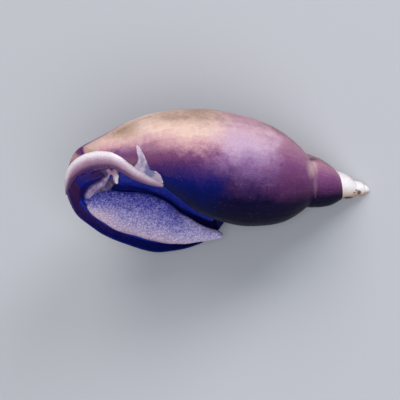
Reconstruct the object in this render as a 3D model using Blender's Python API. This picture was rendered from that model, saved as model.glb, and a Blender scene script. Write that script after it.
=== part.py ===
"""Great pond snail, still, half drawn in, lying on the back of its shell with the sole up.

The shell grows round its own axis: local X runs out to the lip, local Y is the way the tube
grows and the way the aperture faces, and local Z runs from the apex to the base. Lengths along
the shell are shares of its length. An empty turns the whole animal into its resting place.
"""
import math

import bmesh
import bpy
from mathutils import Matrix, Vector

SHELL = 0.050            # apex to base
GAP = 0.0003             # between nodes that touch
WALL = 0.0007            # of the last whorl round the aperture
CALLUS = 0.0004          # glaze on the wall that the whorl before gives the aperture

# Turns before the lip, and there: height of the suture, height of the base, greatest radius.
GROWTH = (
    (-1.92, 0.0993, 0.389, 0.0749),
    (-1.42, 0.131, 0.527, 0.1005),
    (-0.92, 0.2186, 0.7044, 0.1547),
    (-0.68, 0.2135, 0.8328, 0.1750),
    (-0.42, 0.2472, 0.9508, 0.2006),
    (0.0, 0.448, 1.0, 0.3055),
)
EARLY_GAIN = 2.05        # growth in each turn before the first of those
TURNS = 4.0
STEPS = 60               # rings in one turn
TIP = 0.0100             # height of the worn apex
# Radius down a whorl from suture to base, as shares of the greatest one.
PROFILE = (
    (0.0, 0.48), (0.06, 0.66), (0.15, 0.84), (0.27, 0.95), (0.42, 1.0),
    (0.56, 0.955), (0.70, 0.83), (0.80, 0.66), (0.90, 0.42), (1.0, 0.20),
)
LIP_PROFILE = (
    (0.0, 0.48), (0.06, 0.73), (0.15, 0.87), (0.27, 0.96), (0.38, 1.0),
    (0.56, 0.94), (0.70, 0.86), (0.80, 0.76), (0.88, 0.665), (0.94, 0.53), (0.98, 0.39),
    (1.0, 0.26),
)
LIP_FLARE = 0.42         # turns over which the one becomes the other
COVERED = 9              # columns on a whorl that the next one partly covers
BARE = 13                # further columns on the last whorl, down to its base
BASE_DIP = (0.008, 0.022)      # fall from the base's edge to the axis, before the lip and at it
DIP_WAY = 0.35           # turns over which the one becomes the other
CORE = 0.022             # radius left round the axis inside the aperture
POST = (0.016, 0.010, 0.982)   # the axis below the base: its radii and the height of its end

APERTURE_DEPTH = 0.24    # turns that are hollow
MANTLE_FACE = 0.105      # turns from the lip back to the mantle's face
MOUTH_WAY = 0.018        # turns that the cutter runs on past the lip
ROOM_WAY = 0.09          # turns past the lip over which the foot keeps inside the tube

# The columella's fold from the base toward the apex: its middle and its radius.
FOLD = (
    (0.00000, 0.00015, 0.04835, 0.00035),
    (-0.00016, 0.00010, 0.04780, 0.00055),
    (-0.00061, 0.00010, 0.04700, 0.00072),
    (-0.00104, 0.00027, 0.04564, 0.00080),
    (-0.00140, 0.00080, 0.04424, 0.00082),
    (-0.00132, 0.00136, 0.04284, 0.00080),
    (-0.00063, 0.00167, 0.04127, 0.00074),
    (0.00004, 0.00232, 0.03959, 0.00066),
    (0.00050, 0.00301, 0.03779, 0.00058),
    (0.00076, 0.00362, 0.03612, 0.00048),
    (0.00076, 0.00439, 0.03469, 0.00036),
)

# The foot by height: middle, half width, level of the sole and depth of the flesh under it.
FOOT = (
    (0.0230, 0.01015, 0.00030, 0.00175, 0.0007),
    (0.0241, 0.01030, 0.00080, 0.00172, 0.0010),
    (0.0254, 0.01045, 0.00115, 0.00165, 0.0012),
    (0.0271, 0.01050, 0.00168, 0.00150, 0.0020),
    (0.0288, 0.01040, 0.00240, 0.00135, 0.0036),
    (0.0305, 0.01020, 0.00285, 0.00125, 0.0062),
    (0.0320, 0.00970, 0.00345, 0.00115, 0.0080),
    (0.0335, 0.00930, 0.00375, 0.00105, 0.0090),
    (0.0352, 0.00895, 0.00390, 0.00095, 0.0095),
    (0.0370, 0.00865, 0.00387, 0.00085, 0.0095),
    (0.0385, 0.00855, 0.00375, 0.00078, 0.0095),
    (0.0400, 0.00850, 0.00350, 0.00070, 0.0090),
    (0.0420, 0.00800, 0.00300, 0.00060, 0.0080),
    (0.0436, 0.00780, 0.00240, 0.00050, 0.0060),
    (0.0448, 0.00770, 0.00170, 0.00040, 0.0040),
    (0.0456, 0.00765, 0.00080, 0.00030, 0.0020),
)
FOOT_CUTS = (0.0295, 0.0385)   # heights of the cuts between tail, middle and front

# The head's ridge from the foot's front end to the columella: out, height, half width, level.
HEAD = (
    (0.00790, 0.04600, 0.00025, -0.0002),
    (0.00720, 0.04590, 0.00038, 0.0000),
    (0.00640, 0.04575, 0.00045, 0.0002),
    (0.00560, 0.04545, 0.00050, 0.0002),
    (0.00500, 0.04500, 0.00048, 0.0002),
    (0.00455, 0.04440, 0.00045, 0.0001),
    (0.00410, 0.04385, 0.00042, 0.0000),
    (0.00350, 0.04345, 0.00042, -0.0003),
    (0.00280, 0.04330, 0.00050, -0.0006),
    (0.00210, 0.04325, 0.00085, -0.0010),
    (0.00140, 0.04320, 0.00120, -0.0013),
)
HEAD_DEPTH = 0.0075
MOUTH = (0.0053, 0.04522, -40.0)   # out, height and slant in degrees of the mouth's slit
MOUTH_SIZE = (0.0010, 0.00026, 0.0005)
# The tentacles, from root to tip: out, height, level, half width.
TENTACLE_LEFT = (
    (0.00190, 0.04280, -0.0012, 0.00060),
    (0.00230, 0.04225, -0.0009, 0.00052),
    (0.00280, 0.04180, -0.0006, 0.00044),
    (0.00340, 0.04160, -0.0005, 0.00040),
    (0.00390, 0.04150, -0.0006, 0.00020),
)
TENTACLE_RIGHT = (
    (0.00260, 0.04380, -0.0018, 0.00050),
    (0.00300, 0.04440, -0.0018, 0.00050),
    (0.00340, 0.04480, -0.0019, 0.00045),
    (0.00380, 0.04520, -0.0021, 0.00032),
    (0.00430, 0.04560, -0.0023, 0.00020),
)
TENTACLE_THICK = 0.0006
EYE_RADIUS = 0.0002
EYE_GAP = 0.0002
EYES = (("eye_left", 0.0018, 0.0427, -0.0013), ("eye_right", 0.0018, 0.0437, -0.0013))

# How the animal rests: the shell is spun round its axis, then tilted about Y, in degrees.
SPIN = -140.0
TILT = -63.2
FLAT = 0.0003            # ground off where the shell touches the floor


def monotone(table, x, column=1):
    """Smooth value of one column of a table, without overshoot between its rows."""
    xs = [row[0] for row in table]
    ys = [row[column] for row in table]
    steps = [b - a for a, b in zip(xs, xs[1:])]
    slopes = [(b - a) / h for a, b, h in zip(ys, ys[1:], steps)]
    tangents = [slopes[0]]
    for i in range(1, len(slopes)):
        before, after = slopes[i - 1], slopes[i]
        if before * after <= 0:
            tangents.append(0.0)
            continue
        w1 = 2 * steps[i] + steps[i - 1]
        w2 = steps[i] + 2 * steps[i - 1]
        tangents.append((w1 + w2) / (w1 / before + w2 / after))
    tangents.append(slopes[-1])
    i = min(max(sum(1 for v in xs if v <= x) - 1, 0), len(steps) - 1)
    h = steps[i]
    s = (x - xs[i]) / h
    rise = ys[i] * (1 + 2 * s) * (1 - s) ** 2 + ys[i + 1] * s * s * (3 - 2 * s)
    return rise + h * (tangents[i] * s * (1 - s) ** 2 + tangents[i + 1] * s * s * (s - 1))


def growth(t):
    """Suture height, base height and greatest radius of the tube t turns from the lip."""
    first = GROWTH[0]
    if t < first[0]:
        gain = EARLY_GAIN ** (t - first[0])
        return tuple(value * gain for value in first[1:])
    logs = [(row[0],) + tuple(math.log(v) for v in row[1:]) for row in GROWTH]
    return tuple(math.exp(monotone(logs, t, i)) for i in (1, 2, 3))


def outer(t, v):
    """Radius and height of the shell's outside at share v down its whorl."""
    suture, base, radius = growth(t)
    flare = min(max(1 + t / LIP_FLARE, 0.0), 1.0)
    flare = flare * flare * (3 - 2 * flare)
    share = monotone(PROFILE, v) * (1 - flare) + monotone(LIP_PROFILE, v) * flare
    return radius * share, suture + v * (base - suture)


def covered_share(t):
    """Share of the whorl at t that shows before the next whorl covers it."""
    suture, base, radius = growth(t)
    return (growth(t + 1)[0] - suture) / (base - suture)


def base_dip(t):
    """Fall from the base's edge to the axis."""
    share = min(max(1 + t / DIP_WAY, 0.0), 1.0)
    return BASE_DIP[0] + (BASE_DIP[1] - BASE_DIP[0]) * share * share * (3 - 2 * share)


def bare_shares(seam):
    """Shares from the seam on down to the base, closer together toward the base."""
    return [seam + (1 - seam) * math.sin(0.5 * math.pi * i / BARE) for i in range(1, BARE + 1)]


def place(t, radius, height):
    """Point at a turn, radius and height, the last two in shares of the shell."""
    angle = 2 * math.pi * t
    return Vector((radius * math.cos(angle), radius * math.sin(angle), height)) * SHELL


def new_object(name, bm, colour=(0.5, 0.4, 0.45), roughness=0.4):
    """Object with its own material from a bmesh."""
    bmesh.ops.recalc_face_normals(bm, faces=bm.faces)
    mesh = bpy.data.meshes.new(name)
    bm.to_mesh(mesh)
    bm.free()
    thing = bpy.data.objects.new(name, mesh)
    bpy.context.scene.collection.objects.link(thing)
    material = bpy.data.materials.new(name)
    material.use_nodes = True
    shader = material.node_tree.nodes["Principled BSDF"]
    shader.inputs["Base Color"].default_value = (*colour, 1.0)
    shader.inputs["Roughness"].default_value = roughness
    mesh.materials.append(material)
    return thing


def sweep(name, rings, **look):
    """Closed body through rings of points, each ring with the same number of them."""
    bm = bmesh.new()
    rows = [[bm.verts.new(point) for point in ring] for ring in rings]
    count = len(rows[0])
    for low, high in zip(rows, rows[1:]):
        for i in range(count):
            j = (i + 1) % count
            bm.faces.new((low[i], low[j], high[j], high[i]))
    bm.faces.new(rows[0])
    bm.faces.new(rows[-1])
    return new_object(name, bm, **look)


def cutter_of(thing):
    thing.hide_render = True
    thing.display_type = "WIRE"
    return thing


def boolean(target, tool, operation, solver="EXACT"):
    """Apply one Boolean and drop the tool."""
    modifier = target.modifiers.new("cut", "BOOLEAN")
    modifier.operation = operation
    modifier.object = tool
    modifier.solver = solver
    graph = bpy.context.evaluated_depsgraph_get()
    mesh = bpy.data.meshes.new_from_object(target.evaluated_get(graph))
    target.modifiers.clear()
    material = target.data.materials[0]
    target.data = mesh
    mesh.materials.clear()
    mesh.materials.append(material)
    bpy.data.objects.remove(tool, do_unlink=True)
    return target


def turned(edge, pair):
    """The corners of two triangles once their shared edge is turned, or none if they'd fold."""
    first, second = pair
    a, b = edge.verts
    c = next(v for v in first.verts if v not in edge.verts)
    d = next(v for v in second.verts if v not in edge.verts)
    corners = ((a, c, d), (b, d, c))
    ways = [(q.co - p.co).cross(r.co - p.co) for p, q, r in corners]
    return corners if ways[0].dot(ways[1]) > 0 else ()


def triangulate(bm):
    """Triangulate many-sided faces, and turn one of the chords where two got the same one."""
    mark = bm.faces.layers.int.new("from_face")
    faces = [face for face in bm.faces if len(face.verts) > 4]
    for number, face in enumerate(faces, 1):
        face[mark] = number
    bmesh.ops.triangulate(bm, faces=faces)
    for edge in [edge for edge in bm.edges if len(edge.link_faces) == 4]:
        for number in {face[mark] for face in edge.link_faces}:
            pair = [face for face in edge.link_faces if face[mark] == number]
            corners = turned(edge, pair) if len(pair) == 2 else ()
            if not corners or bm.edges.get(corners[0][1:]):
                continue
            bmesh.ops.delete(bm, geom=pair, context="FACES_ONLY")
            for three in corners:
                bm.faces.new(three)
            break
    bm.faces.layers.int.remove(mark)


def tidy(thing, distance=0.00001):
    """Merge points that a Boolean leaves closer than a hair."""
    bm = bmesh.new()
    bm.from_mesh(thing.data)
    bmesh.ops.remove_doubles(bm, verts=bm.verts, dist=distance)
    bmesh.ops.dissolve_degenerate(bm, dist=distance, edges=bm.edges)
    triangulate(bm)
    bmesh.ops.recalc_face_normals(bm, faces=bm.faces)
    bm.to_mesh(thing.data)
    bm.free()


def shell_solid(name, **look):
    """The whole shell as one solid, closed across the lip.

    Rows follow the growing tube. A row's first point is the last one of the row a turn before,
    so the suture is one shared line.
    """
    bm = bmesh.new()
    first = -round(TURNS * STEPS)
    seam = covered_share(-1.0)
    rows = {}
    for k in range(first, 1):
        t = k / STEPS
        if k <= -STEPS:
            shares = [covered_share(t) * i / COVERED for i in range(COVERED + 1)]
        else:
            shares = [seam * i / COVERED for i in range(COVERED + 1)]
            shares += bare_shares(seam)
        row = []
        for i, v in enumerate(shares):
            if i == 0 and k - STEPS in rows:
                row.append(rows[k - STEPS][COVERED])
            else:
                row.append(bm.verts.new(place(t, *outer(t, v))))
        rows[k] = row
    last = rows[-STEPS]
    start = list(last)
    for v in bare_shares(seam):
        start.append(bm.verts.new(place(-1.0, *outer(-1.0, v))))
    for k in range(first, -STEPS):
        low, high = rows[k], rows[k + 1]
        for a, b, c, d in zip(low, low[1:], high[1:], high):
            bm.faces.new((a, b, c, d))
    heights = [growth(k / STEPS)[1] - base_dip(k / STEPS) for k in range(-STEPS, 1)]
    ramp = [bm.verts.new(place(k / STEPS, POST[0], heights[k + STEPS])) for k in range(-STEPS, 1)]
    for k in range(-STEPS, 0):
        low = (start if k == -STEPS else rows[k]) + [ramp[k + STEPS]]
        high = rows[k + 1] + [ramp[k + STEPS + 1]]
        for a, b, c, d in zip(low, low[1:], high[1:], high):
            bm.faces.new((a, b, c, d))
    lip = rows[0] + [ramp[-1], ramp[0]] + start[:COVERED:-1]
    bm.faces.new(lip)
    top = [bm.verts.new(place(k / STEPS, POST[1], POST[2])) for k in range(-STEPS, 0)]
    bm.faces.new((ramp[0], ramp[-1], top[0], top[1], ramp[1]))
    for i in range(1, STEPS):
        bm.faces.new((ramp[i], top[i], top[(i + 1) % STEPS], ramp[i + 1]))
    bm.faces.new(top)
    tip = bm.verts.new(place(0, 0, TIP))
    first_row = rows[first]
    for a, b in zip(first_row, first_row[1:]):
        bm.faces.new((a, b, tip))
    rim = [rows[k][0] for k in range(first, first + STEPS + 1)]
    for a, b in zip(rim, rim[1:]):
        bm.faces.new((b, a, tip))
    bmesh.ops.triangulate(bm, faces=[f for f in bm.faces if len(f.verts) > 4])
    return new_object(name, bm, **look)


INSIDE_SHARES = (
    0.04, 0.07, 0.11, 0.16, 0.22, 0.29, 0.37, 0.46, 0.55, 0.64, 0.72, 0.79, 0.85, 0.90, 0.94, 0.97,
    0.99,
)


def inner_ring(t, wall, spare=0.0):
    """Points round the inside of the tube at t, a wall in from its outside."""
    thick = wall / SHELL
    points = []
    for v in INSIDE_SHARES:
        r, z = outer(t, v)
        r0, z0 = outer(t, v - 0.01)
        r1, z1 = outer(t, v + 0.01)
        length = math.hypot(r1 - r0, z1 - z0)
        points.append((r - thick * (z1 - z0) / length, z + thick * (r1 - r0) / length))
    suture, base, radius = growth(t - 1)
    low = points[0][1]
    high = points[-1][1] - 0.004
    inner = []
    for i in range(13):
        z = high + (low - high) * i / 12
        v = (z - suture) / (base - suture)
        wall_radius = outer(t - 1, v)[0] + (CALLUS + spare) / SHELL if v < 1 else 0.0
        inner.append((max(wall_radius, CORE + spare / SHELL), z))
    points[0] = (max(points[0][0], inner[-1][0] + 0.004), points[0][1] + 0.004)
    return [place(t, r, z) for r, z in points + inner]


def tube(name, start, end, steps, wall, spare=0.0, **look):
    turns = [start + (end - start) * i / steps for i in range(steps + 1)]
    return sweep(name, [inner_ring(t, wall, spare) for t in turns], **look)


def fold(name, spare=0.0, **look):
    """Round strand along the columella's fold, a spare thicker and longer."""
    steps = 40
    table = [(i,) + row for i, row in enumerate(FOLD)]
    places = [i * (len(FOLD) - 1) / steps for i in range(steps + 1)]
    middles = [Vector([monotone(table, s, axis) for axis in (1, 2, 3)]) for s in places]
    middles[0] += (middles[0] - middles[1]).normalized() * spare
    middles[-1] += (middles[-1] - middles[-2]).normalized() * spare
    rings = []
    for i, (s, middle) in enumerate(zip(places, middles)):
        ahead = middles[min(i + 1, steps)] - middles[max(i - 1, 0)]
        side = ahead.cross(Vector((0, 1, 0))).normalized()
        up = side.cross(ahead).normalized()
        size = monotone(table, s, 4) + spare
        rings.append([
            middle + size * (side * math.cos(a) + up * math.sin(a))
            for a in (2 * math.pi * j / 12 for j in range(12))
        ])
    return sweep(name, rings, **look)


def foot_ring(z, middle, half, level, depth, grow):
    """Section of the foot across its length: sole, rounded margins and the stem below."""
    stem = min(0.55, 0.0018 / half)
    edge = 0.0004 + 0.1 * half
    outline = (
        (-1.0, -edge), (-0.93, -0.35 * edge), (-0.7, 0.0), (-0.3, 0.00018), (0.0, 0.00022),
        (0.3, 0.00018), (0.7, 0.0), (0.93, -0.35 * edge), (1.0, -edge), (0.9, -1.9 * edge),
        (0.62, -0.3 * depth - edge), (stem, -depth), (0.0, -depth - 0.0001), (-stem, -depth),
        (-0.62, -0.3 * depth - edge), (-0.9, -1.9 * edge),
    )
    half += grow
    level += grow
    return [Vector((middle + half * x, level + y, z)) for x, y in outline]


def foot(name, grow=0.0, **look):
    rings = [foot_ring(*row, grow) for row in FOOT]
    ends = (rings[0], rings[-1])
    for ring, way in zip(ends, (-grow, grow)):
        for point in ring:
            point.z += way
    return sweep(name, rings, **look)


def strand(name, rows, section, **look):
    """Body along rows of out, height and level, its section laid across the way it runs."""
    middles = [Vector((row[0], row[-1] if len(row) == 3 else 0.0, row[1])) for row in rows]
    rings = []
    for i, row in enumerate(rows):
        ahead = middles[min(i + 1, len(rows) - 1)] - middles[max(i - 1, 0)]
        ahead.y = 0.0
        side = ahead.cross(Vector((0, 1, 0))).normalized()
        rings.append([
            Vector((row[0], 0, row[1])) + side * across + Vector((0, height, 0))
            for across, height in section(row)
        ])
    return sweep(name, rings, **look)


def head(name, grow=0.0, **look):
    """Ridge with a rounded top and straight sides that run down to the mantle."""
    def section(row):
        half = row[2] + grow
        top = row[3] + grow
        arc = [(half * math.cos(a), top + 0.75 * half * (math.sin(a) - 1))
               for a in (math.pi * i / 8 for i in range(9))]
        return arc + [(-0.9 * half, top - HEAD_DEPTH), (0.9 * half, top - HEAD_DEPTH)]
    rows = [list(row) for row in HEAD]
    rows[0][0] += grow
    return strand(name, rows, section, **look)


def tentacle(name, rows, **look):
    """Flat lobe with round edges."""
    def section(row):
        thick = 0.5 * TENTACLE_THICK * (0.55 + 0.45 * min(1.0, row[3] / 0.0006))
        return [(row[3] * math.cos(a), row[2] + thick * math.sin(a))
                for a in (2 * math.pi * i / 12 for i in range(12))]
    return strand(name, rows, section, **look)


def ball(name, centre, radius, **look):
    bm = bmesh.new()
    bmesh.ops.create_uvsphere(bm, u_segments=12, v_segments=8, radius=radius)
    bmesh.ops.translate(bm, verts=bm.verts, vec=centre)
    return new_object(name, bm, **look)


def block(name, size, matrix):
    bm = bmesh.new()
    bmesh.ops.create_cube(bm, size=1.0)
    bmesh.ops.scale(bm, verts=bm.verts, vec=size)
    bmesh.ops.transform(bm, verts=bm.verts, matrix=matrix)
    return cutter_of(new_object(name, bm))


def beyond(point, normal):
    """Large block that fills all beyond a plane."""
    turn = normal.to_track_quat("Z", "Y").to_matrix().to_4x4()
    return block("beyond", (0.2, 0.2, 0.2), Matrix.Translation(point + normal * 0.1) @ turn)


def copy_of(thing, name):
    twin = thing.copy()
    twin.data = thing.data.copy()
    twin.name = name
    twin.data.name = name
    bpy.context.scene.collection.objects.link(twin)
    return twin


def part_at(thing, name, point, normal):
    """Cut a piece off beyond a plane, with the gap between, and return it."""
    piece = copy_of(thing, name)
    boolean(thing, beyond(point - normal * GAP / 2, normal), "DIFFERENCE")
    boolean(piece, beyond(point + normal * GAP / 2, -normal), "DIFFERENCE")
    return piece


def suture_plane(turns_back):
    """Plane through the suture where it shows, so many whorls before the last."""
    points = []
    for t in (-0.42 - turns_back, -0.67 - turns_back, -0.92 - turns_back):
        points.append(place(t, *outer(t - 1, covered_share(t - 1))))
    normal = (points[1] - points[0]).cross(points[2] - points[0]).normalized()
    if normal.z > 0:
        normal = -normal
    return points[1], normal


def make_shell():
    look = dict(colour=(0.33, 0.21, 0.27), roughness=0.25)
    body = shell_solid("shell_body_whorl", **look)
    hollow = cutter_of(tube("hollow", -APERTURE_DEPTH, MOUTH_WAY, 20, WALL))
    boolean(body, hollow, "DIFFERENCE")
    boolean(body, cutter_of(fold("groove", GAP)), "DIFFERENCE")
    spire = part_at(body, "shell_spire", *suture_plane(0))
    apex = part_at(spire, "shell_apex", *suture_plane(1))
    columella = fold("shell_columella", colour=(0.80, 0.78, 0.80), roughness=0.2)
    return [body, spire, apex, columella]


def make_flesh():
    look = dict(colour=(0.42, 0.38, 0.48), roughness=0.45)
    dark = dict(colour=(0.10, 0.08, 0.13), roughness=0.4)
    face = place(-MANTLE_FACE, 0.1, 0.7)
    inward = Vector((0, 0, 1)).cross(face).normalized()
    mantle = tube("mantle", 0.006 - APERTURE_DEPTH, -MANTLE_FACE, 14, WALL + GAP, GAP, **dark)

    front = foot("foot_front", **look)
    boolean(front, beyond(face + inward * GAP, -inward), "DIFFERENCE")
    middle = part_at(front, "foot_middle", Vector((0, 0, FOOT_CUTS[1])), Vector((0, 0, -1)))
    tail = part_at(middle, "foot_tail", Vector((0, 0, FOOT_CUTS[0])), Vector((0, 0, -1)))

    neck = head("head", **look)
    boolean(neck, cutter_of(foot("foot_room", GAP)), "DIFFERENCE")
    boolean(neck, beyond(face + inward * GAP, -inward), "DIFFERENCE")
    core = block("core", (1, 1, 1), Matrix())
    bm = bmesh.new()
    radius = CORE * SHELL + GAP
    bmesh.ops.create_cone(bm, cap_ends=True, segments=32, radius1=radius, radius2=radius, depth=0.02)
    bmesh.ops.translate(bm, verts=bm.verts, vec=(0, 0, 0.043))
    bm.to_mesh(core.data)
    bm.free()
    boolean(neck, core, "DIFFERENCE")
    turn = Matrix.Rotation(math.radians(MOUTH[2]), 4, "Y")
    slit = (MOUTH_SIZE[0], 2 * MOUTH_SIZE[2], MOUTH_SIZE[1])
    place_of_slit = Matrix.Translation((MOUTH[0], 0.0002, MOUTH[1]))
    boolean(neck, block("slit", slit, place_of_slit @ turn), "DIFFERENCE")

    for piece in (front, middle, neck):
        room = tube("room", -0.2, ROOM_WAY, 24, WALL + GAP, GAP)
        boolean(piece, cutter_of(room), "INTERSECT")

    nodes = [mantle, front, middle, tail]
    for name, rows in (("tentacle_left", TENTACLE_LEFT), ("tentacle_right", TENTACLE_RIGHT)):
        feeler = tentacle(name, rows, **look)
        boolean(feeler, cutter_of(head("head_room", GAP)), "DIFFERENCE")
        boolean(feeler, beyond(face + inward * GAP, -inward), "DIFFERENCE")
        nodes.append(feeler)
    for name, out, height, level in EYES:
        centre = Vector((out, level, height))
        boolean(neck, cutter_of(ball("socket", centre, EYE_RADIUS + EYE_GAP)), "DIFFERENCE")
        nodes.append(ball(name, centre, EYE_RADIUS, colour=(0.01, 0.01, 0.015), roughness=0.1))
    return nodes + [neck]


def main():
    for thing in list(bpy.data.objects):
        bpy.data.objects.remove(thing, do_unlink=True)
    nodes = make_shell() + make_flesh()
    snail = bpy.data.objects.new("snail", None)
    bpy.context.scene.collection.objects.link(snail)
    snail.rotation_mode = "ZYX"
    snail.rotation_euler = (0.0, math.radians(TILT), math.radians(SPIN))
    turn = snail.rotation_euler.to_matrix()
    down = turn.transposed() @ Vector((0, 0, -1))
    touching = nodes[:3]
    reach = max(vertex.co.dot(down) for node in touching for vertex in node.data.vertices) - FLAT
    for node in touching:
        boolean(node, beyond(down * reach, down), "DIFFERENCE")
    points = [turn @ vertex.co for node in nodes for vertex in node.data.vertices]
    middle = [(min(axis) + max(axis)) / 2 for axis in list(zip(*points))[:2]]
    snail.location = (-middle[0], -middle[1], reach)
    for node in nodes:
        tidy(node)
        node.parent = snail


main()
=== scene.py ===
"""Looks of the great pond snail: glossy mottled shell, glazed columella and one skin of wet flesh.

Pieces are modelled in the shell's own frame, as the part's source is: X runs out to the lip, Y is
the way the tube grows, and Z runs from the apex to the base. Then they are laid down to rest.
"""

import math

import bmesh
import bpy
from bpy.props import FloatProperty, FloatVectorProperty, IntProperty, PointerProperty
from bpy.types import Operator, Panel, PropertyGroup
from mathutils import Matrix, Vector, noise


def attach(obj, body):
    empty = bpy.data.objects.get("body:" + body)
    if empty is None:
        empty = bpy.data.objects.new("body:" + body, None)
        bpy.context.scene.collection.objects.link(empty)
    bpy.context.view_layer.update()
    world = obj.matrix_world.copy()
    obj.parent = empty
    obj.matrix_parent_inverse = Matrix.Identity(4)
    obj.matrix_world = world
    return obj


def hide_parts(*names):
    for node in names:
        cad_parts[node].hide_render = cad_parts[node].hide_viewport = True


bl_info = {
    "name": "Great pond snail",
    "version": (1, 0, 0),
    "blender": (4, 5, 0),
    "location": "3D View > Sidebar > Snail",
    "description": "Builds the finish of a life-size great pond snail round its frame",
    "category": "Object",
}

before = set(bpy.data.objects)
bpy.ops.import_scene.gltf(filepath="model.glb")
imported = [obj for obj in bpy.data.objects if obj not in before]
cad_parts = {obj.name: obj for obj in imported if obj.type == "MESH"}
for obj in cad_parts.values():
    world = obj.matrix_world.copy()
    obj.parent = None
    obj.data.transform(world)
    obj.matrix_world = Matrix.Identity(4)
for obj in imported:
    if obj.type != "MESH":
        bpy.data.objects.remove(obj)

# The same sizes as the part's source, in metres or in shares of the shell's length.
SHELL = 0.050
WALL = 0.0007
CALLUS = 0.0004
CORE = 0.022
TIP = 0.0100
# Turns before the lip, and there: height of the suture, height of the base, greatest radius.
GROWTH = (
    (-1.92, 0.0993, 0.389, 0.0749),
    (-1.42, 0.131, 0.527, 0.1005),
    (-0.92, 0.2186, 0.7044, 0.1547),
    (-0.68, 0.2135, 0.8328, 0.1750),
    (-0.42, 0.2472, 0.9508, 0.2006),
    (0.0, 0.448, 1.0, 0.3055),
)
EARLY_GAIN = 2.05
# Radius down a whorl from suture to base, as shares of the greatest one, and the same at the lip.
PROFILE = (
    (0.0, 0.48), (0.06, 0.66), (0.15, 0.84), (0.27, 0.95), (0.42, 1.0),
    (0.56, 0.955), (0.70, 0.83), (0.80, 0.66), (0.90, 0.42), (1.0, 0.20),
)
LIP_PROFILE = (
    (0.0, 0.48), (0.06, 0.73), (0.15, 0.87), (0.27, 0.96), (0.38, 1.0),
    (0.56, 0.94), (0.70, 0.86), (0.80, 0.76), (0.88, 0.665), (0.94, 0.53), (0.98, 0.39),
    (1.0, 0.26),
)
LIP_FLARE = 0.42
BASE_DIP = (0.008, 0.022)
DIP_WAY = 0.35
MANTLE_FACE = 0.075
# The columella's roll in the photograph's frame: pixel, depth in pixels, radius, and how far its
# inner slope reaches into the aperture and sinks.
FOLD = (
    (66.2, 195.0, 62.6, 0.00004, 0.0001, 0.0001),
    (66.2, 191.5, 64.3, 0.00008, 0.0003, 0.0004),
    (66.4, 188.0, 66.0, 0.00014, 0.0006, 0.0008),
    (66.7, 183.5, 68.3, 0.00024, 0.0010, 0.0014),
    (67.4, 178.5, 70.5, 0.00036, 0.0014, 0.0021),
    (69.2, 173.5, 72.5, 0.00048, 0.0018, 0.0028),
    (72.4, 168.6, 74.5, 0.00060, 0.0020, 0.0033),
    (76.8, 164.4, 76.5, 0.00070, 0.0020, 0.0036),
    (82.8, 160.8, 78.0, 0.00078, 0.0019, 0.0036),
    (90.5, 158.0, 78.6, 0.00086, 0.0017, 0.0032),
    (99.5, 156.8, 79.0, 0.00092, 0.0015, 0.0025),
    (109.0, 157.4, 80.4, 0.00092, 0.0011, 0.0018),
    (118.0, 160.5, 81.0, 0.00084, 0.0009, 0.0012),
    (127.0, 166.0, 79.0, 0.00076, 0.0008, 0.0010),
    (137.0, 172.8, 77.2, 0.00067, 0.0007, 0.0008),
    (148.0, 178.6, 76.6, 0.00057, 0.0005, 0.0005),
    (157.5, 182.9, 77.0, 0.00042, 0.0003, 0.0003),
    (163.5, 185.8, 78.2, 0.00018, 0.0001, 0.0001),
)
# The flap of glaze over it: row of the photograph, and where it starts and ends there.
FLAP = (
    (145.5, 136.8, 137.8),
    (148.0, 136.8, 139.8),
    (150.0, 137.0, 141.3),
    (153.0, 137.4, 143.0),
    (156.0, 138.2, 144.7),
    (159.0, 138.6, 146.0),
    (162.0, 138.0, 147.1),
    (165.0, 136.0, 148.5),
    (168.0, 134.0, 149.6),
    (170.3, 136.0, 150.8),
    (171.2, 138.0, 155.5),
    (173.0, 141.0, 158.2),
    (175.5, 145.0, 160.8),
    (178.0, 149.0, 161.8),
    (181.0, 154.0, 163.0),
    (183.5, 158.0, 163.4),
    (185.5, 160.5, 162.6),
)
# Points across the flap, the depth its rays start from, and the step in depth, in pixels, at
# which a ray has missed the whorl. Then its rise over the shell at both edges and its thickness.
FLAP_COLUMNS = 13
FLAP_START = 300.0
FLAP_STEP = 2.0
FLAP_RISE = (0.00003, 0.00016)
FLAP_THICK = 0.00015
# The foot by height: middle, half width, level of the sole and depth of the flesh under it.
FOOT = (
    (0.0230, 0.01015, 0.00030, 0.00175, 0.0007),
    (0.0241, 0.01030, 0.00080, 0.00172, 0.0010),
    (0.0254, 0.01045, 0.00115, 0.00165, 0.0012),
    (0.0271, 0.01050, 0.00168, 0.00150, 0.0020),
    (0.0288, 0.01040, 0.00240, 0.00135, 0.0036),
    (0.0305, 0.01020, 0.00285, 0.00125, 0.0062),
    (0.0320, 0.00970, 0.00345, 0.00115, 0.0080),
    (0.0335, 0.00930, 0.00375, 0.00105, 0.0090),
    (0.0352, 0.00895, 0.00390, 0.00095, 0.0095),
    (0.0370, 0.00865, 0.00387, 0.00085, 0.0095),
    (0.0385, 0.00855, 0.00375, 0.00078, 0.0095),
    (0.0400, 0.00850, 0.00350, 0.00070, 0.0090),
    (0.0420, 0.00800, 0.00300, 0.00060, 0.0080),
    (0.0436, 0.00780, 0.00240, 0.00050, 0.0060),
    (0.0448, 0.00770, 0.00170, 0.00040, 0.0040),
    (0.0456, 0.00765, 0.00080, 0.00030, 0.0020),
)
FOOT_IN_TUBE = (0.0285, 0.0456)
FOOT_TAIL = (0.0230, 0.0300)
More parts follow.
